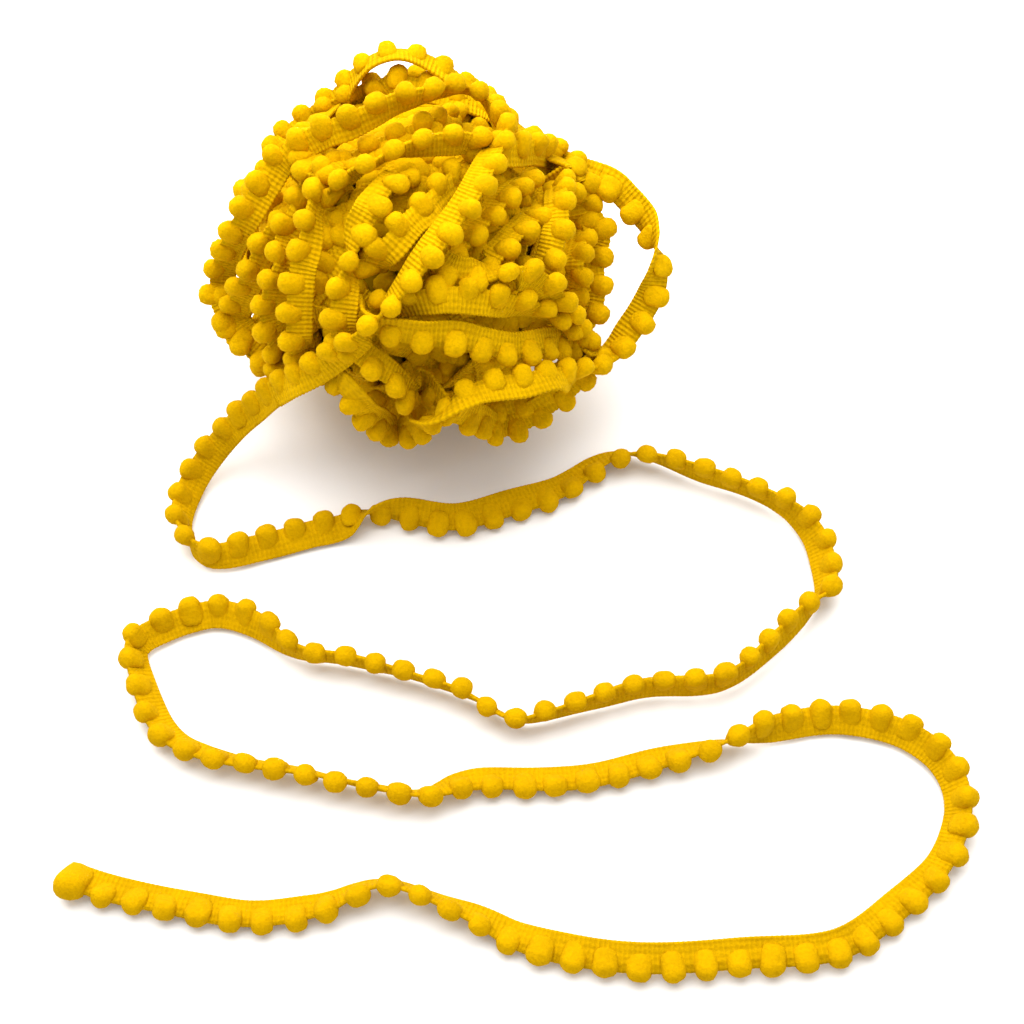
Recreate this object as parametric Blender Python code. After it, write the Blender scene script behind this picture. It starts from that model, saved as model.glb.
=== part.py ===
"""Pompom fringe trim: a loosely wound ball with a stray loop and one long tail lying on the surface.

The trim is a narrow tape with a pompom every PITCH along one edge. Everything is laid out in
millimetres and turned into metres when a mesh is made. The origin is the middle of the ball's
flat spot, +Z is up and the tail runs out towards -Y.
"""

import math

import bmesh
import bpy
import numpy as np

MM = 0.001

# The trim itself.
WIDTH = 6.2            # from the tape's plain edge to the line of pompom centres
TAPE_THICK = 1.2
POMPOM_RADIUS = 2.5
PITCH = 6.8            # from one pompom to the next
BALL_PITCH = 9.5       # the same on the ball's fused turns, which are eased a little apart
ROOT_SETBACK = 2.6     # the pompoms' backing strip starts this far inside their centre line
STRIP_THICK = 1.0
CLEARANCE = 0.3        # between neighbouring pieces
FLOOR_CLEARANCE = 0.1
END_POMPOM_RADIUS = 3.1
TAIL_TAPE_STEP = 4.5   # length of one facet of the tape along the tail
LOOP_TAPE_STEP = 2.4   # and along the loop
STRAND_STEP = 0.5      # strands are read from their splines this finely
TAIL_STEP = 3.0        # the tail is set down on the surface this finely
TAIL_RUN = 4           # pompoms on one backing strip of the tail
LOOP_RUN = 4           # pompoms on one backing strip of the loop

# The wound ball: half-axes on which its outer turns lie, and those of the packed core under them.
BALL_HEIGHT = 38.0
TURN_AXES = np.array((43.5, 45.5, 40.0))
CORE_AXES = np.array((40.2, 42.2, 39.6))
FLATTER = np.array((   # where the ball is flatter: direction, depth in millimetres and spread
    (-0.62, 0.57, 0.54, 8.0, 0.15), (0.62, 0.60, 0.50, 5.5, 0.15), (-0.45, -0.72, -0.53, 3.0, 0.08),
))
CORE_TURNS = 13        # hidden turns that show as soft scalloped bands on the core
CORE_TURN_RISE = 3.2
CORE_TURN_HALF = 4.8
CORE_SCALLOPS = 36     # pompoms round one hidden turn
BALL_FACET_SHARE = 0.40

# Outer turns of the ball. Each row is (azimuth, elevation, lift, lean): degrees round and up from
# the ball's centre, millimetres off the turns' ellipsoid, and the angle of the pompoms about the
# strand, 0 to the strand's own side, 90 straight out and 180 to the other side.
OVERHAND = (
    (-128, -12, -1, 120), (-142, -13, 1, 100), (-152, -7, 2, 123), (-157, -4, 3.2, 95),
    (-162, -1, 3.8, 90), (-167, 2, 2.9, 84), (-168, 12, 2, 71), (-167, 23, 2, 65),
    (-169, 32, 2, 66), (-175, 39, 2, 67), (177, 46, 2, 65), (171, 55, 2, 61), (167, 67, 2.5, 56),
    (154, 76, 2.5, 77), (106, 79, 2.5, 95), (65, 74, 2.5, 110), (56, 63, 2.5, 126),
    (47, 56, 2.5, 147), (31, 55, 2, 112), (8, 58, 2, 74), (-18, 60, 2, 46), (-41, 58, 2.5, 37),
    (-57, 55, 2.4, 42), (-70, 50, 2.4, 38), (-80, 45, 2.5, 46), (-88, 39, 2.5, 59),
    (-94, 34, 2.4, 76), (-100, 29, 2.5, 114), (-106, 24, 2.5, 147),
)
CREST = (
    (173, 25, -3, 87), (173, 36, 0, 39), (151, 21, 2.1, 62), (140, 18, 3.4, 52),
    (130, 18, 2.2, 31), (122, 22, 2, 17), (117, 27, 3.4, 14), (112, 32, 4.7, 15), (104, 37, 5.5, 18),
    (95, 38, 5.2, 18), (87, 38, 4.5, 25), (76, 42, 3, 27), (67, 40, 1.5, 20), (62, 26, -0.2, 13),
    (57, 22, -2.3, 16),
)
INNER = (
    (9, 53, -3, 83), (0, 66, 0, 98), (-9, 76, 1, 110), (-49, 82, 1, 92), (-103, 80, 0.9, 74),
    (-124, 74, 0.4, 70), (-137, 68, -0.1, 79), (-143, 59, -2, 82),
)
LEFT = (
    (-166, 66, -3, 79), (-151, 59, 0, 89), (-142, 52, 0.5, 90), (-136, 43, 0.5, 112),
    (-133, 36, 0.4, 141), (-130, 29, 0.4, 140), (-128, 21, 0, 138), (-126, 13, 0, 129),
    (-125, 1, -3, 84),
)
HEADER = (
    (-5, 68, -3, 73), (-2, 62, -0.6, 50), (5, 55, 0.5, 38), (14, 42, 0.5, 51), (28, 19, 1.4, 86),
    (20, 16, 2.5, 39), (13, 12, 1.5, 36),
)
SLANT = (
    (-80, 45, -3.1, 161), (-73, 41, -1, 176), (-67, 39, -0.1, 169), (-58, 38, 0.9, 96),
    (-48, 35, 1.5, 51), (-40, 27, 1, 44), (-36, 15, 1, 64), (-31, 1, 0.5, 83), (-26, -13, 2.7, 98),
)
UPPER_BAND = (
    (-96, 34, -3.1, 36), (-86, 37, -1.1, 17), (-76, 38, -0.1, -12), (-65, 35, -0.1, -10),
    (-55, 30, -0.1, 12), (-46, 21, 0, 56), (-36, 5, -1, 80),
)
LOWER_BAND = (
    (-100, 25, -3.1, -149), (-93, 24, -1.5, -164), (-83, 22, -1, -181), (-74, 20, -0.5, -203),
    (-66, 15, -0.6, -206), (-57, 9, -0.6, -212), (-46, 3, -0.5, -222), (-28, -14, 0.1, -203),
)
FRONT = (
    (-27, -22, 0, 30), (-33, -20, 3.6, 34), (-40, -20, 5.2, 33), (-47, -22, 5.7, 42),
    (-56, -24, 5.6, 82), (-63, -26, 4.3, 67), (-72, -16, 1.5, 28), (-79, -9, 0, -10),
    (-86, -9, -3, -11),
)
BACK_HIGH = (
    (-158, 58, -2, 30), (160, 45, 0, 25), (136, 28, 1, 15), (108, 12, 1, 20), (84, 2, 1, 30),
    (60, -4, 1, 20), (36, -8, 1, 10), (14, -16, -1, 10),
)
BACK_LOW = (
    (176, 25, -1, 160), (162, 8, 1, 170), (140, -8, 1, 165), (114, -18, 1, 160), (86, -22, 1, 170),
    (58, -26, 1, 175), (32, -30, -1, 180),
)
BACK_STEEP = (
    (30, 44, -2, 20), (48, 34, 0, 15), (66, 20, 1, 10), (88, 22, 0, 20), (112, 32, 0, 30),
    (134, 10, 2, 20), (150, -12, 2, 15), (172, -22, 1, 10), (-166, -26, -1, 10),
)
RIGHT_SIDE = (
    (21, 16, -1, 84), (-1, 29, 0, 74), (-12, 30, 0.5, 59), (-20, 29, 0.4, 53), (-29, 27, 0, 49),
    (-35, 24, -1.5, 64), (-40, 20, -3, 67),
)
RIGHT_LOW = (
    (0, 31, -2, 96), (8, 11, 0, 105), (1, 4, 1.4, 116), (-4, 1, 1.8, 108), (-14, 4, 0.5, 131),
    (-14, -6, 2.1, 102), (-21, -10, 1.3, 116), (-27, -13, -0.5, 123),
)
TOP_BACK = (
    (120, 36, -3, -30), (110, 45, -1, -35), (98, 49, 0, -35), (83, 57, 0, -31), (63, 57, 0, -37),
    (49, 50, 0, -34), (39, 39, 0, -31), (39, 20, 0, -12), (28, 18, 1.5, 0), (21, 14, 0, 10),
)
LEFT_SIDE = (
    (-168, 47, -3, 100), (-156, 41, -1, 109), (-152, 33, -0.6, 98), (-149, 23, 0, 101),
    (-153, 9, 0, 117), (-157, -4, 1.7, 105), (-150, -8, 2.9, 70),
)
FUSED_TURNS = (
    LEFT_SIDE, RIGHT_SIDE, RIGHT_LOW, TOP_BACK, CREST, INNER, LEFT, HEADER, SLANT,
    UPPER_BAND, LOWER_BAND, FRONT, BACK_HIGH, BACK_LOW, BACK_STEEP,
)

# The stray loop off the ball's right side, in the same columns. It starts and ends in the ball.
LOOP = (
    (58, -2, -2, -50), (44, 5, -1, -60), (32, 11, 0, -75), (20, 14, 1.5, -85), (13, 12, 3.5, -85),
    (8, 9, 6, -80), (3, 6, 9, -60), (-2, 4, 12, -20), (-6, 2, 14.5, 30), (-11, -2, 15, 70),
    (-16, -6, 13.5, 90), (-21, -9, 11.5, 105), (-27, -11, 9, 122), (-34, -9, 6.5, 150),
    (-42, -2, 4, 205), (-50, 3, 2.5, 251), (-58, 6, 1.5, 239), (-66, 8, 0.9, 250), (-74, 7, 1, 268),
    (-79, 2, 0.9, 287), (-82, -7, 1, 340), (-87, -18, 1, 392), (-95, -24, 1.4, 410),
    (-101, -14, 1, 389), (-105, -2, 1, 364), (-108, 3, 0, 356), (-115, 1, -3, 370),
)
LOOP_FREE = (34.0, 92.0)   # the stretch of the loop that stands clear of the ball
TAIL_FREE = 31.0           # the tail stands clear this far past the last row of OVERHAND

# The tail. Each row is (x, y, lean, lift): where the pompom line runs, the angle of the pompoms
# about the strand (0 lies to its left, 90 stands up, 180 lies to its right, and the tape turns once
# right round at the twist), and the height above resting on the surface.
TAIL = (
    (-24.5, -37.5, 130, 36), (-30.5, -35, 132, 28), (-36, -33.5, 135, 20), (-41.5, -33, 140, 13),
    (-47, -34.5, 145, 7), (-52, -38.5, 148, 2), (-54.5, -44, 142, 0), (-55, -51, 128, 0),
    (-52, -58, 98, 0), (-46, -61.5, 65, 0),
    (-34, -57, 30, 0), (-20, -52.5, 22, 0), (-11, -50, -50, 0), (-2, -52, -125, 0),
    (10, -54, -153, 0), (23, -50, -163, 0), (35, -45, -185, 0), (46, -37, -215, 0),
    (55, -36, -250, 0), (67, -39.5, -272, 0), (84, -47, -275, 0), (93, -54, -310, 0),
    (96, -63, -322, 0), (94.5, -72, -298, 0), (88, -77, -252, 0), (80, -85, -250, 0),
    (69, -94, -258, 0), (50, -96.5, -262, 0), (30, -103, -278, 0), (22, -104, -295, 0),
    (10, -96.5, -283, 0), (-10, -90.5, -281, 0), (-24, -87.5, -272, 0), (-34, -78.5, -228, 0),
    (-44, -75, -214, 0), (-56, -79, -214, 0), (-62, -85, -228, 0), (-60, -94, -220, 0),
    (-54, -106, -215, 0), (-44, -112.5, -225, 0), (-24, -116.5, -240, 0), (2, -122, -238, 0),
    (16, -119, -205, 0), (36, -118.5, -201, 0), (56, -114, -205, 0), (69, -110, -245, 0),
    (80, -104, -308, 0), (94, -101, -330, 0), (108, -104.5, -325, 0), (117, -112.5, -322, 0),
    (119, -124, -320, 0), (114, -136, -327, 0), (104, -146, -350, 0), (90, -155.5, -370, 0),
    (70, -157.5, -372, 0), (48, -158.5, -372, 0), (28, -155, -358, 0), (12, -147.5, -315, 0),
    (-3, -142, -300, 0), (-16, -147, -335, 0), (-32, -148.5, -343, 0), (-50, -145.5, -343, 0),
    (-60, -143.4, -343, 0), (-66, -141.6, -343, 0.7), (-71, -140, -343, 0.9),
)

BEAD_CORNERS = np.radians((112.0, 38.0, -38.0, -112.0))   # of a pompom's section, 0 pointing outwards

TRIM_YELLOW = (0.97, 0.52, 0.003, 1.0)
TAPE_YELLOW = (0.93, 0.47, 0.003, 1.0)


def unit(vectors):
    """Each vector over its own length."""
    return vectors / np.linalg.norm(vectors, axis=-1, keepdims=True)


def smooth(rows, step, axes):
    """The rows joined by a Catmull-Rom spline, read every step mm of the first axes columns."""
    rows = np.asarray(rows, float)
    padded = np.vstack([2 * rows[0] - rows[1], rows, 2 * rows[-1] - rows[-2]])
    spans = []
    for before, start, end, after in zip(padded, padded[1:], padded[2:], padded[3:]):
        count = max(2, int(np.linalg.norm((end - start)[:axes]) / step))
        t = np.linspace(0, 1, count, endpoint=False)[:, None]
        spans.append(0.5 * (
            2 * start + (end - before) * t
            + (2 * before - 5 * start + 4 * end - after) * t ** 2
            + (3 * start - before - 3 * end + after) * t ** 3
        ))
    return np.vstack(spans + [rows[-1:]])


def strand(points, sides):
    """A strand through points, its pompoms towards sides: dense arrays of length, place and side."""
    dense = smooth(np.hstack([points, sides]), STRAND_STEP, axes=3)
    place = dense[:, :3]
    steps = np.linalg.norm(np.diff(place, axis=0), axis=1)
    return np.concatenate([[0], np.cumsum(steps)]), place, dense[:, 3:]


def frames(line, lengths):
    """Place, direction, side and face normal of the strand at the given lengths."""
    length, place, side = line
    at = np.stack([np.interp(lengths, length, place[:, k]) for k in range(3)], axis=1)
    ahead = np.stack([np.interp(lengths + 0.8, length, place[:, k]) for k in range(3)], axis=1)
    behind = np.stack([np.interp(lengths - 0.8, length, place[:, k]) for k in range(3)], axis=1)
    along = unit(ahead - behind)
    across = np.stack([np.interp(lengths, length, side[:, k]) for k in range(3)], axis=1)
    across = unit(across - (across * along).sum(axis=1, keepdims=True) * along)
    return at, along, across, np.cross(along, across)


def tilted(along, out, lean):
    """The unit vector at lean degrees about the strand, from its side (0) towards out (90)."""
    out = unit(out - (out * along).sum(axis=1, keepdims=True) * along)
    turn = np.radians(lean)[:, None]
    return np.cos(turn) * np.cross(out, along) + np.sin(turn) * out


def flattened(out):
    """How much nearer the centre the ball's surface lies in each direction, for its flatter places."""
    away = 1 - out @ unit(FLATTER[:, :3]).T
    return np.exp(-away / FLATTER[:, 4]) @ FLATTER[:, 3]


def ball_points(rows):
    """Points and pompom directions of rows given round the ball."""
    azimuth, elevation, lift, lean = np.asarray(rows, float).T
    azimuth, elevation = np.radians(azimuth), np.radians(elevation)
    out = np.stack([
        np.cos(elevation) * np.cos(azimuth), np.cos(elevation) * np.sin(azimuth), np.sin(elevation),
    ], axis=1)
    reach = 1 / np.linalg.norm(out / TURN_AXES, axis=1) - flattened(out)
    points = out * (reach + lift)[:, None] + (0, 0, BALL_HEIGHT)
    return points, tilted(unit(np.gradient(points, axis=0)), out, lean)


def tail_points(rows):
    """Points and pompom directions of the tail: each section rests on its pompoms or its plain edge."""
    x, y, lean, lift = smooth(rows, TAIL_STEP, axes=2).T
    turn = np.radians(lean)
    on_edge = TAPE_THICK / 2 * np.abs(np.cos(turn)) + WIDTH * np.sin(turn)
    rest = np.maximum(POMPOM_RADIUS, on_edge) + FLOOR_CLEARANCE
    points = np.stack([x, y, rest + lift], axis=1)
    up = np.tile((0.0, 0.0, 1.0), (len(points), 1))
    return points, tilted(unit(np.gradient(points, axis=0)), up, lean)


def section(line, lengths, across_mm, normal_mm):
    """Rings along the strand: one ring a length, one corner a column of the two offset arrays."""
    at, _, across, normal = frames(line, lengths)
    return (
        at[:, None, :]
        + across_mm[:, :, None] * across[:, None, :]
        + normal_mm[:, :, None] * normal[:, None, :]
    )


def bead_stations(first, last, count, end_radius=POMPOM_RADIUS):
    """Lengths and yarn radii of a row of pompoms: a link, then each pompom's shoulder, middle, shoulder."""
    pitch = (last - first) / count
    lengths, radii = [first], [0.6]
    for index in range(count):
        middle = first + (index + 0.5) * pitch
        radius = end_radius if index == count - 1 else POMPOM_RADIUS
        lengths += [middle - 0.68 * radius, middle, middle + 0.68 * radius, first + (index + 1) * pitch]
        radii += [0.8 * radius, radius, 0.8 * radius, 0.6]
    lengths[-1] = last
    return np.array(lengths), np.array(radii)


def bead_rings(line, lengths, radii, root, root_half):
    """Rings whose first and last corners are the strip's root and the rest go round the pompom."""
    shrink = np.clip(radii / POMPOM_RADIUS, 0, 1)[:, None]
    centre = -1.4 * (1 - shrink)
    count = len(lengths)
    across = np.hstack([
        np.full((count, 1), root), centre + radii[:, None] * np.cos(BEAD_CORNERS), np.full((count, 1), root),
    ])
    normal = np.hstack([
        np.full((count, 1), root_half), radii[:, None] * np.sin(BEAD_CORNERS),
        np.full((count, 1), -root_half),
    ])
    return section(line, lengths, across, normal)


def solid_from_rings(name, rings, material):
    """A closed object: quads between neighbouring rings and a face over each end."""
    count, corners = rings.shape[:2]
    mesh = bmesh.new()
    verts = [[mesh.verts.new(point * MM) for point in ring] for ring in rings]
    for ring, following in zip(verts, verts[1:]):
        for k in range(corners):
            after = (k + 1) % corners
            mesh.faces.new((ring[k], ring[after], following[after], following[k]))
    mesh.faces.new(verts[0][::-1])
    mesh.faces.new(verts[-1])
    bmesh.ops.triangulate(mesh, faces=mesh.faces[:])
    bmesh.ops.recalc_face_normals(mesh, faces=mesh.faces[:])
    return new_object(name, mesh, material)


def new_object(name, mesh, material):
    """The finished mesh as an object of the scene."""
    data = bpy.data.meshes.new(name)
    mesh.to_mesh(data)
    mesh.free()
    data.materials.append(material)
    made = bpy.data.objects.new(name, data)
    bpy.context.scene.collection.objects.link(made)
    return made


def yarn_material(name, colour, roughness):
    """Plain dyed yarn."""
    made = bpy.data.materials.new(name)
    made.use_nodes = True
    shader = made.node_tree.nodes["Principled BSDF"]
    shader.inputs["Base Color"].default_value = colour
    shader.inputs["Roughness"].default_value = roughness
    shader.inputs["Metallic"].default_value = 0.0
    return made


def tape_piece(name, line, first, last, step, material):
    """The bare tape between two lengths: a thin four-cornered band from the plain edge inwards."""
    count = max(3, round((last - first) / step) + 1)
    lengths = np.linspace(first, last, count)
    inner = -ROOT_SETBACK - CLEARANCE
    half = TAPE_THICK / 2
    across = np.tile((-WIDTH, inner, inner, -WIDTH), (count, 1))
    normal = np.tile((half, half, -half, -half), (count, 1))
    return solid_from_rings(name, section(line, lengths, across, normal), material)


def pompom_piece(name, line, first, last, count, material, end_radius=POMPOM_RADIUS):
    """A run of pompoms on their own narrow backing strip."""
    lengths, radii = bead_stations(first, last, count, end_radius)
    rings = bead_rings(line, lengths, radii, -ROOT_SETBACK, STRIP_THICK / 2)
    return solid_from_rings(name, rings, material)


def fused_turn(name, line, first, last, pitch, material):
    """A turn of the ball: tape and pompoms in one, from the plain edge to the far side of the pompoms."""
    count = max(2, round((last - first) / pitch))
    lengths, radii = bead_stations(first, last, count)
    return solid_from_rings(
        name, bead_rings(line, lengths, radii, -WIDTH, TAPE_THICK / 2), material
    )


def core(material):
    """The packed inside of the ball: a lumpy ellipsoid banded by hidden turns."""
    mesh = bmesh.new()
    bmesh.ops.create_icosphere(mesh, subdivisions=5, radius=1.0)
    golden = math.pi * (3 - math.sqrt(5))
    for vert in mesh.verts:
        out = np.array(vert.co)
        rise = 0.0
        for turn in range(CORE_TURNS):
            height = 1 - (2 * turn + 1) / CORE_TURNS
            girth = math.sqrt(1 - height * height)
            pole = np.array((girth * math.cos(golden * turn), girth * math.sin(golden * turn), height))
            off = float(out @ pole) * CORE_AXES[0] / CORE_TURN_HALF
            if abs(off) < 1:
                flat = np.cross(pole, (0.0, 0.0, 1.0))
                round_turn = math.atan2(float(out @ np.cross(pole, flat)), float(out @ flat))
                scallop = 0.8 + 0.2 * math.cos(CORE_SCALLOPS * round_turn)
                rise = max(rise, CORE_TURN_RISE * scallop * (1 - off * off))
        point = out * (CORE_AXES + rise - flattened(out))
        vert.co = (point + (0, 0, BALL_HEIGHT)) * MM
    bmesh.ops.recalc_face_normals(mesh, faces=mesh.faces[:])
    return new_object("ball", mesh, material)


def hidden_collection():
    """A collection for the turns that are fused into the ball."""
    made = bpy.data.collections.new("fused_turns")
    bpy.context.scene.collection.children.link(made)
    return made


def keep_outer_shell(mesh):
    """Deletes every shell but the one that reaches furthest, which leaves the ball solid inside."""
    unseen = set(mesh.verts)
    shells = []
    while unseen:
        shell = {unseen.pop()}
        edge = set(shell)
        while edge:
            edge = {other for vert in edge for link in vert.link_edges for other in link.verts} - shell
            shell |= edge
        unseen -= shell
        shells.append(shell)
    outer = max(shells, key=len)
    inner = [vert for shell in shells if shell is not outer for vert in shell]
    bmesh.ops.delete(mesh, geom=inner, context="VERTS")


def fuse(ball, turns):
    """Joins the turns to the ball by one Boolean union and fills the hollows that they enclose."""
    group = hidden_collection()
    for turn in turns:
        bpy.context.scene.collection.objects.unlink(turn)
        group.objects.link(turn)
        turn.hide_render = True
        turn.display_type = "WIRE"
    union = ball.modifiers.new("fused_turns", "BOOLEAN")
    union.operation = "UNION"
    union.solver = "EXACT"
    union.operand_type = "COLLECTION"
    union.collection = group
    union.use_self = True
    graph = bpy.context.evaluated_depsgraph_get()
    mesh = bmesh.new()
    mesh.from_object(ball, graph)
    ball.modifiers.clear()
    keep_outer_shell(mesh)
    mesh.to_mesh(ball.data)
    mesh.free()
    fewer = ball.modifiers.new("fewer_facets", "DECIMATE")
    fewer.ratio = BALL_FACET_SHARE


def cut_flat(ball):
    """Cuts the ball level at the surface, which gives it one flat spot to rest on."""
    mesh = bmesh.new()
    mesh.from_object(ball, bpy.context.evaluated_depsgraph_get())
    ball.modifiers.clear()
    everything = mesh.verts[:] + mesh.edges[:] + mesh.faces[:]
    cut = bmesh.ops.bisect_plane(
        mesh, geom=everything, plane_co=(0, 0, 0), plane_no=(0, 0, 1), clear_inner=True
    )
    rim = [item for item in cut["geom_cut"] if isinstance(item, bmesh.types.BMEdge)]
    for vert in {vert for edge in rim for vert in edge.verts}:
        vert.co.z = 0.0
    bmesh.ops.edgeloop_fill(mesh, edges=rim)
    bmesh.ops.recalc_face_normals(mesh, faces=mesh.faces[:])
    mesh.to_mesh(ball.data)
    mesh.free()


def length_at(line, point):
    """The length along the strand that lies nearest a point."""
    return line[0][np.argmin(np.linalg.norm(line[1] - point, axis=1))]


def pompom_runs(name, line, first, last, run, material, end_radius):
    """The whole row of pompoms, parted into runs of equal count on their own backing strips."""
    total = round((last - first) / PITCH)
    pieces = math.ceil(total / run)
    edges = np.linspace(0, total, pieces + 1).round().astype(int)
    pitch = (last - first) / total
    for index, (start, end) in enumerate(zip(edges, edges[1:])):
        begin = first + start * pitch + (CLEARANCE if index else 0.0)
        radius = end_radius if index == pieces - 1 else POMPOM_RADIUS
        pompom_piece(
            f"{name}_{index + 1:02d}", line, begin, first + end * pitch, end - start, material, radius
        )


def build():
    """Clears the scene and makes every piece."""
    for old in list(bpy.data.objects):
        bpy.data.objects.remove(old)
    yarn = yarn_material("pompom_yarn", TRIM_YELLOW, 0.95)
    tape = yarn_material("tape_knit", TAPE_YELLOW, 0.9)

    over_points, over_sides = ball_points(OVERHAND)
    tail_run, tail_sides = tail_points(TAIL)
    long_strand = strand(np.vstack([over_points, tail_run]), np.vstack([over_sides, tail_sides]))
    tail_start = length_at(long_strand, over_points[-1]) + TAIL_FREE
    tail_end = long_strand[0][-1]

    loop = strand(*ball_points(LOOP))
    loop_first, loop_last = LOOP_FREE

    turns = [fused_turn("over_turn", long_strand, 2.0, tail_start, BALL_PITCH, yarn)]
    turns.append(fused_turn("loop_back", loop, 1.0, loop_first - CLEARANCE, BALL_PITCH, yarn))
    loop_end = loop[0][-1] - 1.0
    turns.append(fused_turn("loop_front", loop, loop_last + CLEARANCE, loop_end, BALL_PITCH, yarn))
    for index, rows in enumerate(FUSED_TURNS):
        line = strand(*ball_points(rows))
        turns.append(fused_turn(f"turn_{index}", line, 1.0, line[0][-1] - 1.0, BALL_PITCH, yarn))
    ball = core(yarn)
    fuse(ball, turns)
    cut_flat(ball)

    tape_piece("loop_tape", loop, loop_first, loop_last, LOOP_TAPE_STEP, tape)
    pompom_runs("loop_pompoms", loop, loop_first, loop_last, LOOP_RUN, yarn, POMPOM_RADIUS)
    tail_first = tail_start + CLEARANCE
    tape_piece("tail_tape", long_strand, tail_first, tail_end - 3.0, TAIL_TAPE_STEP, tape)
    pompom_runs("tail_pompoms", long_strand, tail_first, tail_end, TAIL_RUN, yarn, END_POMPOM_RADIUS)


build()
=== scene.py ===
"""Pompom fringe trim, dressed: knitted tape with its row of pompoms, wound, looped and laid out.

Everything is worked out in millimetres in the model's own frame and turned into metres when a mesh
is made. A strand is a line of pompom centres with, at each place, the direction in which the
pompoms stand off the tape.
"""

import math

import bpy
import numpy as np
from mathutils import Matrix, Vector


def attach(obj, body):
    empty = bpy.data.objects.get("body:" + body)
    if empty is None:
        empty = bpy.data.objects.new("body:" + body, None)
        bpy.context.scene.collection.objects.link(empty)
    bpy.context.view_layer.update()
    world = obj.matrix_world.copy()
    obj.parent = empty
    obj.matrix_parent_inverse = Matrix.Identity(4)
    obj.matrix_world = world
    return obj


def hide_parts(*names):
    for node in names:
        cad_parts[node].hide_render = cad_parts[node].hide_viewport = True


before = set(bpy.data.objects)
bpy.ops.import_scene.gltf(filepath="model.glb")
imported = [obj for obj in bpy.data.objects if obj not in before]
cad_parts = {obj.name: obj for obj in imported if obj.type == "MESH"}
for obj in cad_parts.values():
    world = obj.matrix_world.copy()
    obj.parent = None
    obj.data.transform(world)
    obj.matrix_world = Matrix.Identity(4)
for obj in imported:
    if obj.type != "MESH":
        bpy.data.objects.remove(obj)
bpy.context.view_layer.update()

MM = 0.001
RNG = np.random.default_rng(7)
FULL_TURN = 6.28         # random phases are drawn from 0 to this

# The trim.
WIDTH = 6.2              # the room that it takes up, from plain edge to the line of pompom centres
PLAIN_EDGE = -5.6        # the tape's plain edge, from the same line
BALL_EDGE = 0.1          # its pompom edge, in the ball and where the trim is loose
FREE_EDGE = 0.7
TAPE_HALF = 0.42         # half its thickness
RIB = 1.05               # one rib of the knit, and one chain of loops across the ribs
CHAIN = 1.45
RIB_SWELL = 0.10         # how far the plain edge swells with each rib, in the ball and loose
LOOSE_SWELL = 0.03
CUPS = ((0.34, 13.0), (0.22, 5.7))   # height and length of two slow waves in the tape
DRIFT = (0.16, 3.1)                  # and of a third, at its plain edge alone
PITCH = 6.8
POMPOM_RADIUS = 2.5
POMPOM_RIDGE = 2.2       # half the width of a row of pompoms as others lie on it,
RIDGE_SQUARE = 6.0       # the square of the radius of its rounded top,
PILE_SPOTS = 22          # and the places across the trim where its height is noted
BALL_GIRTH = 0.88        # the girth of pompoms as pressed in the ball, and of loose ones
FREE_GIRTH = 0.93
SQUARED = 2.1            # power of a pompom's outline: 2 is a globe, more is squarer
SIZES = (0.93, 1.07)     # pompoms differ by this much in size,
PITCH_SPREAD = 0.22      # by up to this many millimetres in their place along the tape
STRAY_SPREAD = 0.25      # and across it,
TILT_SPREAD = 0.16       # and by up to this slope in their tilt
STRETCH = (1.10, 1.00, 1.00)         # they are longer along the tape,
OUTWARD = 0.1            # and stand off their line by this
END_RADIUS = 3.3         # the thick last pompom of the tail
END_STRETCH = np.array((1.05, 1.0, 0.92))
CUT = 0.5                # a strand's tape and pompoms stop this short of its ends
TAIL_CUT = 3.5           # and the tail's tape ends inside its last pompom

# The ball.
CENTRE = np.array((0.0, 0.0, 38.0))
TURN_AXES = np.array((43.5, 45.5, 40.0))
FLATTER = np.array((     # flatter places: direction, depth and spread
    (-0.62, 0.57, 0.54, 8.0, 0.15), (0.62, 0.60, 0.50, 5.5, 0.15), (-0.45, -0.72, -0.53, 3.0, 0.08),
))
CORE_LIFT = -12.5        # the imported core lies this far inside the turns' ellipsoid
CORE_LUMP = 0.7
CORE_RINGS = 28
CORE_CORNERS = 56
CORE_RADIUS = 28.0       # about the core's radius
INMOST_PITCH = 6.0
INMOST_RISE = 0.6        # the inmost turns' centre line lies this far off the core
INMOST_SPAN = (0.1, 1.8) # where they start and end, in radians from VIEW_SIDE
INMOST_POINTS = 1500
HEAP_CELLS = 300         # the height map of the winding is this many cells square
VIEW_SIDE = np.array((0.055, -0.645, 0.762))   # the open, looser side of the ball
FILL_TURNS = 24
FILL_POINTS = 560
FILL_RADIUS = 42         # about the radius of a filling turn
FILL_OFFSET = 0.42       # a filling turn lies up to this far off a great circle, in radians,
FILL_WAVER = 0.07        # and wavers by this, three times round
FILL_SPANS = (7, 5)      # its tape and its pompoms bend over at least these lengths
FILL_LEAN = (-0.5, 0.6)  # the least and most that its tape may lean, in radians
TAPE_ARM = 4.6           # from the pompoms' centres to the middle of what the tape rests on
FILL_CAP = (-8.6, -4.6)  # how far out the filling turns may come, on the open side and elsewhere
FACING = (-0.15, 0.35)   # the open side's cap comes in from this cosine to VIEW_SIDE, over this much
CREST_SIDE = np.array((-0.06, 0.72, 0.69))     # under the crest the cap is lower still,
CREST_CAP = -7.6
CREST_SPREAD = 0.93      # and where the cosine to CREST_SIDE falls below this it rises,
CREST_SLOPE = 40         # by this for each 1 that the cosine falls
HOLLOW_SIDE = np.array((0.20, -0.975, 0.03))   # a deep hollow under the lower bands
HOLLOW_DEPTH = 8.0
HOLLOW_SPREAD = 0.035
ASIDE = (0.3, -0.5, 0.8) # a direction that no turn's pole lies along
TAPE_SPOTS = (-6.0, -4.8, -3.6)                # where a strand is felt for what is under it,
POMPOM_SPOTS = (-1.6, 0.0, 1.6)                # across the tape and across the pompoms
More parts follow.
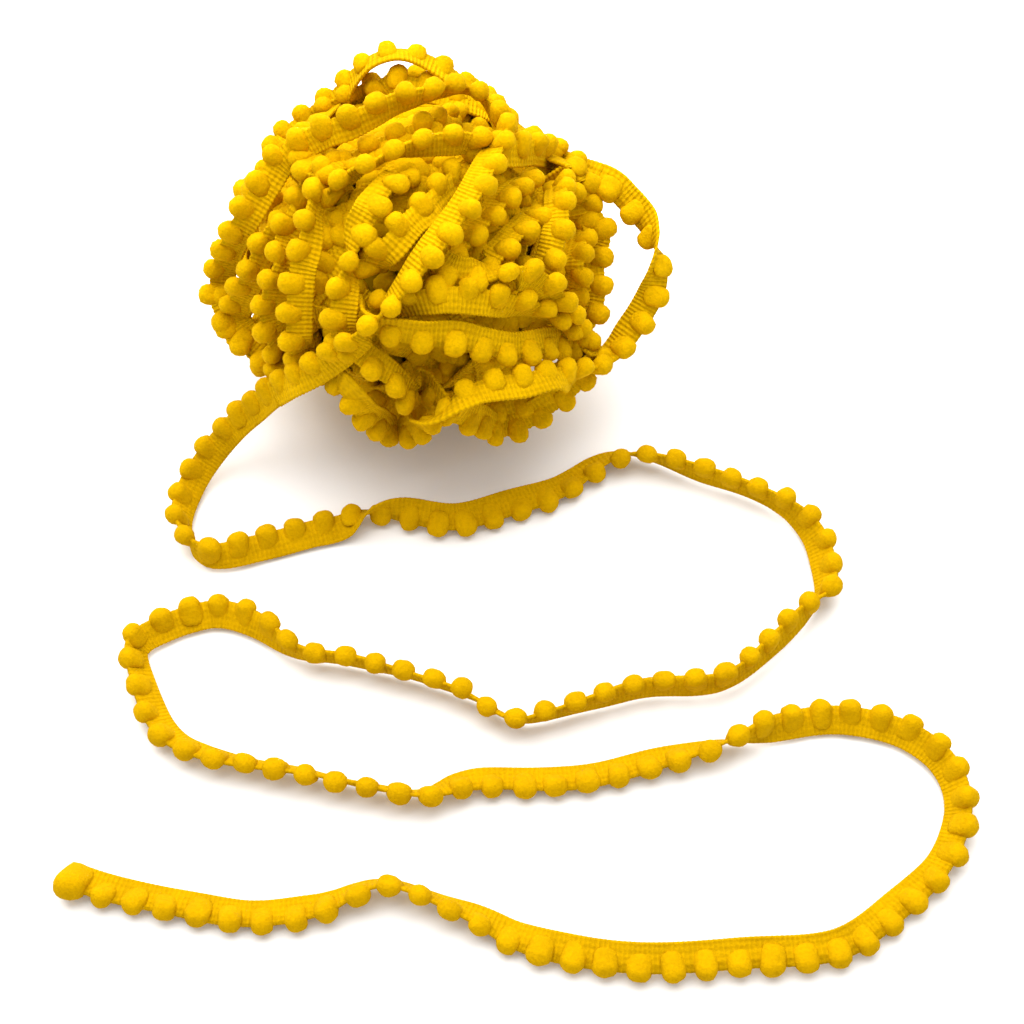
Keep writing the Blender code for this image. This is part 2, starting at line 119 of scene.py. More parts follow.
SETTLE_SPOTS = (-6.0, -4.8, -3.6, -2.4, -1.5, 0.0, 1.5)
SETTLE_HALF = (0.45, 0.45, 0.45, 0.45, 1.4, 1.9, 1.4)   # and half the trim's thickness there
SETTLE_SPAN = 8
TUCK_LIFT = -8.5         # the ends of an outer turn dive to here
TURN_SETTLE = (0.6, 14, 14)   # the most that it is raised, and how far from its ends that fades
LOOP_SETTLE = (0.5, 6, 6)
OVERHAND_SETTLE = (0.6, 12, 14)
LOOP_FREE = (32.6, 90.4) # the loop stands free between these lengths along it
TAIL_FREE = 31.0         # the tail starts this far past the end of OVERHAND

# Outer turns. Each row is (azimuth, elevation, lift, lean): degrees round and up from the ball's
# centre, millimetres off the ellipsoid, and the angle of the pompoms about the strand, 0 to the
# strand's own side, 90 straight out and 180 to the other side.
BACK_HIGH = (
    (-158, 58, -2, 30), (160, 45, 0, 25), (136, 28, 1, 15), (108, 12, 1, 20), (84, 2, 1, 30),
    (60, -4, 1, 20), (36, -8, 1, 10), (14, -16, -1, 10),
)
BACK_LOW = (
    (176, 25, -1, 160), (162, 8, 1, 170), (140, -8, 1, 165), (114, -18, 1, 160), (86, -22, 1, 170),
    (58, -26, 1, 175), (32, -30, -1, 180),
)
BACK_STEEP = (
    (30, 44, -2, 20), (48, 34, 0, 15), (66, 20, 1, 10), (88, 22, 0, 20), (112, 32, 0, 30),
    (134, 10, 2, 20), (150, -12, 2, 15), (172, -22, 1, 10), (-166, -26, -1, 10),
)
TOP_BACK = (
    (113, 29, -4.2, 106), (108, 34, -2, 113), (99, 39, -0.2, 77), (89, 39, -2.1, 64),
    (79, 37, -2.6, 66), (68, 34, -2.3, 56), (58, 28, -1.5, 52), (48, 24, -1.1, 46),
    (36, 22, -0.8, 39), (24, 22, 0.1, 33), (16, 19, 1.3, 30),
)
LOW_LEFT = (
    (-162, -1, 2.7, 71), (-156, -5, 2.5, 91), (-150, -8, 1.8, 94), (-143, -11, 0.6, 94),
    (-130, -5, -1, 77), (-122, -5, -3, 55),
)
RIGHT_LOW = (
    (8, 22, -3, 96), (10, 10, 0.1, 88), (5, 7, 1.8, 81), (0, 3, 2.2, 90), (-5, 0, 0.9, 120),
    (-11, -3, 1.6, 104), (-16, -7, 1.8, 105), (-21, -10, 1.5, 108), (-27, -13, -0.3, 121),
)
LEFT_SIDE = (
    (-160, 34, -4, 101), (-158, 28, -3.5, 101), (-155, 21, -2.5, 94), (-154, 16, -1.5, 105),
    (-157, 5, -0.5, 125), (-157, -4, 1.8, 99), (-150, -8, 3, 70),
)
LEFT_MID = (
    (-172, 50, -5, 102), (-157, 44, -4, 109), (-151, 35, -3.6, 114), (-142, 31, -2.1, 93),
    (-141, 23, -1.6, 112), (-140, 13, -1.5, 113), (-136, 3, -2, 90), (-137, -13, -2.9, 68),
)
CROWN = (
    (-179, 53, -7.5, 91), (178, 65, -7, 80), (161, 76, -6.5, 77), (103, 79, -6.5, 78),
    (65, 69, -6.5, 84), (65, 41, -6.5, 90), (65, 24, -4.9, 99), (59, 19, -6.4, 66),
)
RIGHT_INNER = (
    (5, 37, -5, 55), (-17, 48, -4.1, 59), (-35, 49, -4, 59), (-50, 48, -4.1, 59),
    (-63, 44, -5.1, 64),
)
LOWER_BAND = (
    (-100, 25, -3.1, -149), (-93, 24, -1.5, -164), (-83, 22, -1, -181), (-74, 20, -0.5, -203),
    (-66, 15, -0.6, -206), (-57, 9, -0.6, -212), (-46, 3, -0.5, -222), (-28, -14, 0.1, -203),
)
UPPER_BAND = (
    (-97, 34, -3.6, 36), (-87, 37, -2.1, 15), (-76, 38, -1.1, -12), (-65, 35, -1, -10),
    (-55, 30, -1, 7), (-45, 21, -1, 44), (-36, 6, -1.5, 81), (-26, -13, 1.1, 83),
)
SHORT_TURN = (
    (-110, 20, -2.1, 129), (-105, 17, -0.5, 133), (-101, 15, 0, 117), (-97, 12, 0, 116),
    (-92, 7, -0.5, 103), (-90, -3, -2, 121),
)
DIAGONAL = (
    (7, 20, -6, 58), (-16, 34, -5, 59), (-32, 38, -4, 61), (-45, 38, -3.5, 62), (-53, 35, -4.5, 56),
)
RIGHT_SIDE = (
    (19, 20, -2, 103), (-4, 33, 0, 87), (-12, 33, 0.5, 75), (-19, 31, 0.5, 66), (-25, 29, 0, 68),
    (-31, 26, -1, 81), (-35, 21, -3, 90),
)
HEADER = (
    (0, 65, -3.6, 54), (5, 60, -1, 33), (8, 54, 0, 40), (18, 40, 0.3, 48), (28, 19, 1.5, 72),
    (20, 17, 2.4, 45), (14, 13, 1.7, 47),
)
INNER = (
    (9, 53, -3, 83), (0, 66, 0, 98), (-9, 76, 1, 110), (-49, 82, 1, 92), (-103, 80, 0.9, 74),
    (-124, 74, 0.4, 70), (-137, 68, -0.1, 79), (-143, 59, -2, 82),
)
MIDDLE = (
    (-85, 73, -3, 16), (-100, 65, -0.5, 17), (-104, 57, 0, -14), (-109, 48, 0.5, 39),
    (-113, 39, 0.4, 128), (-113, 31, 0.4, 157), (-112, 24, -0.1, 151), (-111, 15, -3, 132),
)
LEFT = (
    (-175, 62, -4, 89), (-153, 58, -1.1, 94), (-142, 52, -0.1, 91), (-135, 43, 0.4, 116),
    (-133, 36, 0.4, 141), (-130, 29, 0.4, 140), (-128, 21, -0.1, 138), (-126, 13, -0.1, 129),
    (-125, 1, -3, 84),
)
SLANT = (
    (-80, 44, -4, 177), (-73, 39, -3, 174), (-65, 36, -2.5, 166), (-57, 35, -1.1, 112),
    (-47, 35, 1.2, 25), (-39, 27, 0.9, 30), (-36, 16, 1, 61), (-31, 1, 0.5, 84),
    (-26, -13, 2.7, 98),
)
FRONT = (
    (-26, -12, 5.7, 34), (-31, -15, 6.8, 53), (-37, -18, 6.2, 53), (-45, -21, 5.4, 62),
    (-54, -24, 5.1, 82), (-62, -26, 3.6, 66), (-72, -12, 1.5, 48), (-79, -6, 0, -3),
    (-84, -7, -8, 30),
)
CREST = (
    (167, 18, -3.3, 90), (159, 21, -0.8, 104), (151, 21, 2.1, 90), (140, 18, 3.4, 102),
    (129, 19, 3.4, 107), (120, 25, 2.9, 85), (112, 32, 4.1, 56), (104, 37, 5.1, 35),
    (96, 38, 4.8, 29), (87, 37, 3.6, 39), (78, 35, 1.9, 47), (70, 31, 0.3, 49), (63, 27, -0.6, 53),
    (55, 22, -1.2, 55), (47, 18, -2, 54),
)
BRIDGE = (
    (-33, 70, -5, 136), (-61, 68, -3.6, 143), (-78, 64, -2.3, 168), (-89, 60, -1.6, 169),
    (-98, 53, -1.1, 170), (-104, 48, -2.1, 157), (-108, 42, -5.1, 136),
)
RIGHT_MID = (
    (15, 13, -1, 60), (9, 9, -1.1, 67), (4, 6, -1.9, 102), (-7, 10, -3, 106), (-15, 10, -3, 103),
    (-17, 3, -3, 100), (-18, -9, -4.4, 57),
)
FRONT_IN = (
    (-28, -13, 6.6, 83), (-32, -16, 4.9, 83), (-40, -19, 3.6, 82), (-48, -22, 2.2, 82),
    (-56, -24, 0, 76), (-64, -26, -2.5, 56), (-74, -23, -5, 43), (-82, -19, -5, 43),
    (-91, -25, -4.9, 54), (-99, -22, -5.3, 48), (-105, -19, -6.3, 36),
)
DEEP_RIGHT = (
    (62, 60, -9, 94), (65, 30, -8, 95), (60, 21, -5.5, 81), (51, 17, -4.7, 86), (40, 16, -4.8, 86),
    (29, 16, -4.8, 80), (21, 13, -7.6, 86), (-8, 32, -8, 89), (-23, 33, -8, 84), (-31, 30, -8, 77),
    (-36, 24, -9.1, 80),
)
OUTER_TURNS = (
    # The under ones first.
    BACK_HIGH, BACK_LOW, BACK_STEEP, TOP_BACK, DEEP_RIGHT, FRONT_IN, LOW_LEFT, RIGHT_MID, RIGHT_LOW,
    LEFT_SIDE, LEFT_MID, CROWN, RIGHT_INNER, LOWER_BAND, UPPER_BAND, SHORT_TURN, DIAGONAL,
    RIGHT_SIDE, HEADER, INNER, MIDDLE, BRIDGE, LEFT, SLANT, FRONT, CREST,
)

# The turn that comes off the ball as the tail, and the loop that stands off its right side.
OVERHAND = (
    (-128, -12, -1, 120), (-142, -13, 1, 100), (-152, -7, 2, 123), (-157, -4, 3.2, 95),
    (-162, -1, 3.8, 90), (-167, 2, 2.9, 84), (-168, 12, 2, 71), (-167, 23, 2, 65),
    (-169, 32, 2, 66), (-175, 39, 2, 67), (177, 46, 2, 65), (171, 55, 2, 61), (167, 67, 2.5, 56),
    (154, 76, 2.5, 77), (106, 79, 2.5, 95), (65, 74, 2.5, 110), (56, 63, 2.5, 126),
    (47, 56, 2.5, 147), (31, 55, 2, 112), (8, 58, 2, 74), (-18, 60, 2, 46), (-41, 58, 2.5, 37),
    (-57, 55, 2.4, 42), (-70, 50, 2.4, 38), (-80, 45, 2.5, 46), (-88, 39, 2.5, 59),
    (-94, 34, 2.4, 76), (-100, 29, 2.5, 114), (-106, 24, 2.5, 147),
)
LOOP = (
    (58, -2, -8, -85), (46, 4, -7.5, -85), (34, 10, -6, -90), (24, 13, -2.5, -90),
    (13, 12, 3.5, -85), (8, 9, 6, -80), (3, 6, 9, -60), (-2, 4, 12, -20), (-6, 2, 14.5, 30),
    (-11, -2, 15, 70), (-16, -6, 13.5, 90), (-21, -9, 11.5, 105), (-27, -11, 9, 122),
    (-34, -9, 6.5, 150), (-42, -2, 4, 205), (-50, 3, 2.5, 255), (-58, 6, 1.5, 246),
    (-66, 8, 0.9, 255), (-74, 7, 1, 271), (-79, 3, 1, 296), (-82, -4, 1, 352), (-87, -14, 1, 420),
    (-95, -25, 1.1, 438), (-101, -13, 1, 419), (-105, -2, 1, 381), (-108, 4, 0, 366),
    (-115, 2, -3, 373),
)

# The tail. Each row is (x, y, lean, lift): where the pompom line runs, the angle of the pompoms
# (0 to the strand's left, 90 up, 180 to its right) and the height above resting on the surface.
TAIL = (
    (-24.5, -37.5, 130, 36), (-30.5, -35, 132, 28), (-36, -33.5, 135, 20), (-41.5, -33, 140, 13),
    (-47, -34.5, 145, 7), (-52, -38.5, 148, 2), (-54.5, -44, 142, 0), (-55, -51, 128, 0),
    (-52, -58, 98, 0), (-46, -61.5, 65, 0),
    (-34, -57, 30, 0), (-20, -52.5, 22, 0), (-11, -50, -50, 0), (-2, -52, -125, 0),
    (10, -54, -153, 0), (23, -50, -163, 0), (35, -45, -185, 0), (46, -37, -215, 0),
    (55, -36, -250, 0), (67, -39.5, -272, 0), (84, -47, -275, 0), (93, -54, -310, 0),
    (96, -63, -322, 0), (94.5, -72, -298, 0), (88, -77, -252, 0), (80, -85, -250, 0),
    (69, -94, -258, 0), (50, -96.5, -262, 0), (30, -103, -278, 0), (22, -104, -295, 0),
    (10, -96.5, -283, 0), (-10, -90.5, -281, 0), (-24, -87.5, -272, 0), (-34, -78.5, -228, 0),
    (-44, -75, -214, 0), (-56, -79, -214, 0), (-62, -85, -228, 0), (-60, -94, -220, 0),
    (-54, -106, -215, 0), (-44, -112.5, -225, 0), (-24, -116.5, -240, 0), (2, -122, -238, 0),
    (16, -119, -205, 0), (36, -118.5, -201, 0), (56, -114, -205, 0), (69, -110, -245, 0),
    (80, -104, -308, 0), (94, -101, -330, 0), (108, -104.5, -325, 0), (117, -112.5, -322, 0),
    (119, -124, -320, 0), (114, -136, -327, 0), (104, -146, -350, 0), (90, -155.5, -370, 0),
    (70, -157.5, -372, 0), (48, -158.5, -372, 0), (28, -155, -358, 0), (12, -147.5, -315, 0),
    (-3, -142, -300, 0), (-16, -147, -335, 0), (-32, -148.5, -343, 0), (-50, -145.5, -343, 0),
    (-60, -143.4, -343, 0), (-66, -141.6, -343, 0.7), (-71, -140, -343, 0.9),
)
TAIL_STEP = 3.0
REST = 0.45              # the tail's pompoms are uneven, so it lies this much higher than true balls
EDGE_REST = 0.6          # a flat tape's height for its thickness and cupping
STRAND_STEP = 0.5
READ_STEP = 0.8          # a strand's direction is read over twice this


# ---------------------------------------------------------------- lines


def unit(vectors):
    """Each vector over its own length."""
    return vectors / np.linalg.norm(vectors, axis=-1, keepdims=True)


def smooth(rows, step, axes):
    """The rows joined by a Catmull-Rom spline, read every step mm of the first axes columns."""
    rows = np.asarray(rows, float)
    ends = np.vstack([2 * rows[0] - rows[1], rows, 2 * rows[-1] - rows[-2]])
    counts = np.linalg.norm(np.diff(rows[:, :axes], axis=0), axis=1) / step
    counts = np.maximum(2, counts.astype(int))
    span = np.repeat(np.arange(len(counts)), counts)
    t = ((np.arange(counts.sum()) - (np.cumsum(counts) - counts)[span]) / counts[span])[:, None]
    before, start, end, after = (ends[span + k] for k in range(4))
    curve = 0.5 * (
        2 * start + (end - before) * t
        + (2 * before - 5 * start + 4 * end - after) * t ** 2
        + (3 * start - before - 3 * end + after) * t ** 3
    )
    return np.vstack([curve, rows[-1:]])


def across_strand(along, side):
    """The sides with their part along the strand taken out, each of unit length."""
    return unit(side - (side * along).sum(axis=-1, keepdims=True) * along)


def strand(points, sides):
    """A strand read from its spline: arrays of length along it, place and side."""
    dense = smooth(np.hstack([points, sides]), STRAND_STEP, axes=3)
    return measured(dense[:, :3], dense[:, 3:])


def measured(place, side):
    """The strand with the length that each place lies along it."""
    steps = np.linalg.norm(np.diff(place, axis=0), axis=1)
    return np.concatenate([[0.0], np.cumsum(steps)]), place, side


def length_near(line, point):
    """How far along a strand its place nearest to point is."""
    length, place, _ = line
    return length[np.argmin(np.linalg.norm(place - point, axis=1))]


def columns_at(lengths, length, table):
    """Each column of the table read at the given lengths."""
    return np.stack([np.interp(lengths, length, column) for column in table.T], axis=-1)


def read(line, lengths):
    """Place, direction, side and face normal of a strand at the given lengths."""
    length, place, side = line
    ahead, behind = (columns_at(lengths + step, length, place) for step in (READ_STEP, -READ_STEP))
    along = unit(ahead - behind)
    across = across_strand(along, columns_at(lengths, length, side))
    return columns_at(lengths, length, place), along, across, np.cross(along, across)


def tilted(along, out, lean):
    """The unit vector at lean degrees about the strand, from its side (0) towards out (90)."""
    out = across_strand(along, out)
    turn = np.radians(lean)[:, None]
    return np.cos(turn) * np.cross(out, along) + np.sin(turn) * out


def reach(out):
    """How far the turns lie from the ball's centre in each direction: an ellipsoid less the depth of
    each flatter place, which falls off as exp(-(1 - cos(angle)) / spread)."""
    away = 1 - out @ unit(FLATTER[:, :3]).T
    return 1 / np.linalg.norm(out / TURN_AXES, axis=-1) - np.exp(-away / FLATTER[:, 4]) @ FLATTER[:, 3]


def hollow(out):
    """How far the winding is sunk in each direction: depth * exp((cos(angle) - 1) / spread)."""
    return HOLLOW_DEPTH * np.exp((out @ HOLLOW_SIDE - 1) / HOLLOW_SPREAD)


def ball_points(rows):
    """Points and pompom directions of rows given round the ball."""
    azimuth, elevation, lift, lean = np.asarray(rows, float).T
    azimuth, elevation = np.radians(azimuth), np.radians(elevation)
    level = np.cos(elevation)
    out = np.stack([level * np.cos(azimuth), level * np.sin(azimuth), np.sin(elevation)], axis=1)
    points = out * (reach(out) + lift)[:, None] + CENTRE
    return points, tilted(unit(np.gradient(points, axis=0)), out, lean)


def tail_points(rows):
    """Points and pompom directions of the tail: each section rests on its pompoms or plain edge."""
    x, y, lean, lift = smooth(rows, TAIL_STEP, axes=2).T
    turn = np.radians(lean)
    on_edge = EDGE_REST * np.abs(np.cos(turn)) + WIDTH * np.sin(turn)
    points = np.stack([x, y, np.maximum(POMPOM_RADIUS, on_edge) + REST + lift], axis=1)
    up = np.tile((0.0, 0.0, 1.0), (len(points), 1))
    return points, tilted(unit(np.gradient(points, axis=0)), up, lean)


# ---------------------------------------------------------------- winding


heap = np.full((HEAP_CELLS, HEAP_CELLS), CORE_LIFT)


def cells(out):
    """The height map's cell in each direction: the sphere is folded onto an octahedron's square."""
    flat = out[..., :2] / np.abs(out).sum(axis=-1, keepdims=True)
    turned = (1 - np.abs(flat[..., ::-1])) * np.where(flat < 0, -1, 1)
    flat = np.where(out[..., 2:] < 0, turned, flat)
    index = np.rint((flat * 0.5 + 0.5) * (HEAP_CELLS - 1)).astype(int)
    return index[..., 0], index[..., 1]


def lifts(points):
    """How far points lie outside the ellipsoid, and their directions from the ball's centre."""
    offset = points - CENTRE
    distance = np.linalg.norm(offset, axis=-1)
    out = offset / distance[..., None]
    return distance - reach(out), out


def under(out):
    """The height of the heap in each direction, the highest of a cell and its neighbours."""
    i, j = cells(out)
    near = np.arange(-1, 2)
    i = np.clip(i[..., None, None] + near[:, None], 0, HEAP_CELLS - 1)
    j = np.clip(j[..., None, None] + near, 0, HEAP_CELLS - 1)
    return heap[i, j].max(axis=(-1, -2))


def pile(line):
    """Adds a strand to the heap: the tape's face, and the pompoms' tops as one rounded ridge."""
    _, place, side = line
    along = unit(np.gradient(place, axis=0))
    side = across_strand(along, side)
    offset = np.linspace(-WIDTH, POMPOM_RIDGE, PILE_SPOTS)
    ridge = np.sqrt(np.maximum(0, RIDGE_SQUARE - offset ** 2))
    rise = np.where(offset < -POMPOM_RIDGE, TAPE_HALF, ridge)
    spots = place[:, None] + offset[:, None] * side[:, None]
    lift, out = lifts(spots)
    np.maximum.at(heap, cells(out), lift + rise)


def eased(values, step, span):
    """Values raised to the highest near each, then averaged over span mm, as a stiff tape would."""
    half = max(1, int(span / step / 2))
    window = np.hanning(2 * half + 3)[1:-1]
    padded = np.pad(values, 2 * half, mode="edge")
    highest = np.lib.stride_tricks.sliding_window_view(padded, 2 * half + 1).max(axis=1)
    return np.convolve(highest, window / window.sum(), mode="valid")


def fill_turn(index):
    """A filling turn: a wavering circle round the ball that lies on whatever is wound under it, but
    no further out than its cap. The turns' poles are spread evenly, a golden angle apart, and the
    cap goes from one side's to the other's by 3 facing^2 - 2 facing^3."""
    height = 1 - (2 * index + 1) / FILL_TURNS
    golden = math.pi * (3 - math.sqrt(5)) * index
    girth = math.sqrt(1 - height * height)
    pole = np.array((girth * math.cos(golden), girth * math.sin(golden), height))
    first = unit(np.cross(pole, ASIDE))
    second = np.cross(pole, first)
    angle = np.linspace(0, 2 * math.pi, FILL_POINTS)
    waver, offset = RNG.uniform(0, FULL_TURN), RNG.uniform(-FILL_OFFSET, FILL_OFFSET)
    tip = offset + FILL_WAVER * np.sin(3 * angle + waver)
    ring = np.cos(angle)[:, None] * first + np.sin(angle)[:, None] * second
    out = np.cos(tip)[:, None] * ring + np.sin(tip)[:, None] * pole
    out_reach = reach(out)
    along = unit(np.gradient(out * out_reach[:, None], axis=0))
    flat = across_strand(along, np.cross(out, along)) * (1 if index % 2 else -1)

    def height_of(offsets, half):
        """How high a strip of half thickness lies that rests on the heap at the offsets across."""
        spots = out[:, None] * out_reach[:, None, None] + np.array(offsets)[:, None] * flat[:, None]
        return under(unit(spots)).max(axis=1) + half

    step = 2 * math.pi * FILL_RADIUS / len(angle)
    tape = eased(height_of(TAPE_SPOTS, TAPE_HALF), step, FILL_SPANS[0])
    pompoms = eased(height_of(POMPOM_SPOTS, POMPOM_RIDGE), step, FILL_SPANS[1])
    facing = np.clip((out @ VIEW_SIDE - FACING[0]) / FACING[1], 0, 1)
    cap = FILL_CAP[1] + (FILL_CAP[0] - FILL_CAP[1]) * facing * facing * (3 - 2 * facing)
    crest = CREST_CAP + CREST_SLOPE * np.maximum(0, CREST_SPREAD - out @ CREST_SIDE)
    cap = np.minimum(cap, crest) - hollow(out)
    pompoms = np.minimum(pompoms, cap)
    lean = np.arctan2(pompoms - np.minimum(tape, cap), TAPE_ARM)
    lean = np.clip(lean, *FILL_LEAN)[:, None]
    place = out * (out_reach + pompoms)[:, None] + CENTRE
    place[:, 2] = np.maximum(place[:, 2], POMPOM_RADIUS)
    line = measured(place, np.cos(lean) * flat + np.sin(lean) * out)
    pile(line)
    return line


def inmost_turns():
    """The inmost turns: one strand wound over the core in a spiral about VIEW_SIDE, from the middle
    of the open side to past its edge. It turns by 2 pi * radius / pitch for each radian that it
    goes out, so its turns lie INMOST_PITCH apart."""
    first = unit(np.cross(VIEW_SIDE, ASIDE))
    second = np.cross(VIEW_SIDE, first)
    polar = np.sqrt(np.linspace(INMOST_SPAN[0] ** 2, INMOST_SPAN[1] ** 2, INMOST_POINTS))[:, None]
    turn = 2 * math.pi * CORE_RADIUS / INMOST_PITCH * polar
    ring = np.cos(turn) * first + np.sin(turn) * second
    out = np.cos(polar) * VIEW_SIDE + np.sin(polar) * ring
    place = out * (reach(out) + CORE_LIFT + INMOST_RISE - hollow(out))[:, None] + CENTRE
    place[:, 2] = np.maximum(place[:, 2], POMPOM_RADIUS)
    along = unit(np.gradient(place, axis=0))
    return measured(place, across_strand(along, np.cross(out, along)))


def tucked(rows):
    """A turn's rows with both ends carried on by half a row's step, down between the turns below."""
    rows = np.asarray(rows, float)
    before, after = 1.5 * rows[0] - 0.5 * rows[1], 1.5 * rows[-1] - 0.5 * rows[-2]
    before[2], after[2] = TUCK_LIFT, TUCK_LIFT
    before[3], after[3] = rows[0, 3], rows[-1, 3]
    return np.vstack([before, rows, after])


def settle(line, most, fade_first, fade_last):
    """The strand raised off the heap, by most at the furthest, with its ends left as they are."""
    length, place, side = line
    along = unit(np.gradient(place, axis=0))
    side = across_strand(along, side)
    offset = np.array(SETTLE_SPOTS)
    lift, out = lifts(place[:, None] + offset[:, None] * side[:, None])
    need = np.clip((under(out) + SETTLE_HALF - lift).max(axis=1), 0, most)
    need = eased(need, length[-1] / len(length), SETTLE_SPAN)
    need *= np.clip(length / fade_first, 0, 1) * np.clip((length[-1] - length) / fade_last, 0, 1)
    place = place + need[:, None] * lifts(place)[1]
    line = measured(place, side)
    pile(line)
    return line


# ---------------------------------------------------------------- meshes


def joined(name, shells, material):
    """One piece from several closed surfaces of corners, uv and faces."""
    starts = np.cumsum([0] + [len(corners) for corners, _, _ in shells])
    corners = np.vstack([corners for corners, _, _ in shells]) * MM
    quads = np.vstack([quads + start for (_, _, quads), start in zip(shells, starts)])
    mesh = bpy.data.meshes.new(name)
    mesh.from_pydata(corners, [], quads.tolist())
    uv = np.vstack([uv for _, uv, _ in shells])
    loops = np.empty(len(mesh.loops), np.int32)
    mesh.loops.foreach_get("vertex_index", loops)
    mesh.uv_layers.new(name="trim").data.foreach_set("uv", (uv[loops] * MM).ravel())
    mesh.polygons.foreach_set("use_smooth", np.ones(len(mesh.polygons), bool))
    mesh.materials.append(material)
    mesh.update()
    piece = bpy.data.objects.new(name, mesh)
    bpy.context.scene.collection.objects.link(piece)
    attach(piece, "root")
    return piece


def tube_faces(rings, corners):
    """Quads round a tube of rings, and a fan of quads over each of its two ends."""
    ring, corner = np.meshgrid(np.arange(rings - 1), np.arange(corners), indexing="ij")
    here = ring * corners + corner
    after = ring * corners + (corner + 1) % corners
    sides = np.stack([here, here + corners, after + corners, after], axis=-1).reshape(-1, 4)
    k = np.arange(1, corners - 1, 2)
    lid = np.stack([np.zeros_like(k), k, k + 1, (k + 2) % corners], axis=-1)
    far = lid[:, ::-1] + (rings - 1) * corners
    return np.vstack([sides, lid, far])


# The tape's section: across from the line of pompom centres, and off its middle. The corners at
# POMPOM_SIDE are set to the tape's own pompom edge.
POMPOM_SIDE = 0.75
TAPE_PROFILE = np.array((
    (PLAIN_EDGE, 0.16), (-5.38, 0.42), (-4.95, 0.44), (-4.55, 0.34), (-2.20, 0.38),
    (POMPOM_SIDE, 0.40), (POMPOM_SIDE, -0.40), (-2.20, -0.38), (-4.55, -0.34), (-4.95, -0.44),
    (-5.38, -0.42), (PLAIN_EDGE, -0.16),
))
AT_EDGE = (TAPE_PROFILE[:, 0] < -5.3) | (TAPE_PROFILE[:, 0] == POMPOM_SIDE)
TAPE_MIDDLE = -3.0
TAPE_REACH = 2.6         # from its middle to its plain edge


def tape_shell(line, first, last, rib_rings=2, inner=BALL_EDGE):
    """The tape: a flat twelve-cornered section carried along the strand, with rib_rings rings to a
    rib. With share = (across - middle) / reach, its edges and thickness go in and out by turns with
    the rings, it is cupped by 0.7 * cup * (share ** 2 - 0.5), where cup is the sum of two waves of
    height * sin(length / wave length), and its plain half is lifted by -share * drift."""
    rings = max(4, int((last - first) / RIB * rib_rings))
    lengths = np.linspace(first, last, rings)
    place, _, across, normal = read(line, lengths)
    wave = np.where(np.arange(rings) % 2, 1.0, -1.0)
    profile = np.where(TAPE_PROFILE[:, 0] > 0, inner, TAPE_PROFILE[:, 0])
    u = np.tile(profile, (rings, 1))
    n = np.tile(TAPE_PROFILE[:, 1], (rings, 1))
    swell = RIB_SWELL if inner == BALL_EDGE else LOOSE_SWELL
    n = n * (1 + 0.6 * swell * wave[:, None])
    u = u - AT_EDGE * swell * wave[:, None] * np.sign(u - TAPE_MIDDLE)
    phase = RNG.uniform(0, FULL_TURN, 3)
    cup = sum(height * np.sin(lengths / span + start) for (height, span), start in zip(CUPS, phase))
    share = (u - TAPE_MIDDLE) / TAPE_REACH
    n = n + cup[:, None] * (share ** 2 - 0.5) * 0.7
    drift = DRIFT[0] * np.sin(lengths / DRIFT[1] + phase[2])
    n = n + drift[:, None] * np.clip(-share, 0, 1)
    corners = place[:, None] + u[..., None] * across[:, None] + n[..., None] * normal[:, None]
    uv = np.stack([np.broadcast_to(lengths[:, None], u.shape), u], axis=-1)
    return corners.reshape(-1, 3), uv.reshape(-1, 2), tube_faces(rings, len(TAPE_PROFILE))


def pompom_template(cuts):
    """A cube cut into cuts x cuts faces a side and blown up to a globe: corner directions and faces."""
    step = np.tan(np.linspace(-0.25, 0.25, cuts + 1) * math.pi)
    u, v = (grid.ravel() for grid in np.meshgrid(step, step, indexing="ij"))
    one = np.ones_like(u)
    sides = [(one, u, v), (-one, v, u), (v, one, u), (u, -one, v), (u, v, one), (v, u, -one)]
    corners = np.vstack([np.stack(side, axis=-1) for side in sides])
    i, j = (grid.ravel() for grid in np.meshgrid(np.arange(cuts), np.arange(cuts), indexing="ij"))
    first = i * (cuts + 1) + j
    quads = np.stack([first, first + cuts + 1, first + cuts + 2, first + 1], axis=-1)
    quads = np.vstack([quads + side * (cuts + 1) ** 2 for side in range(6)])
    _, kept, merged = np.unique(corners.round(6), axis=0, return_index=True, return_inverse=True)
    return unit(corners[kept]), merged.reshape(-1)[quads]


BALL_GLOBE = pompom_template(3)
FREE_GLOBE = pompom_template(5)


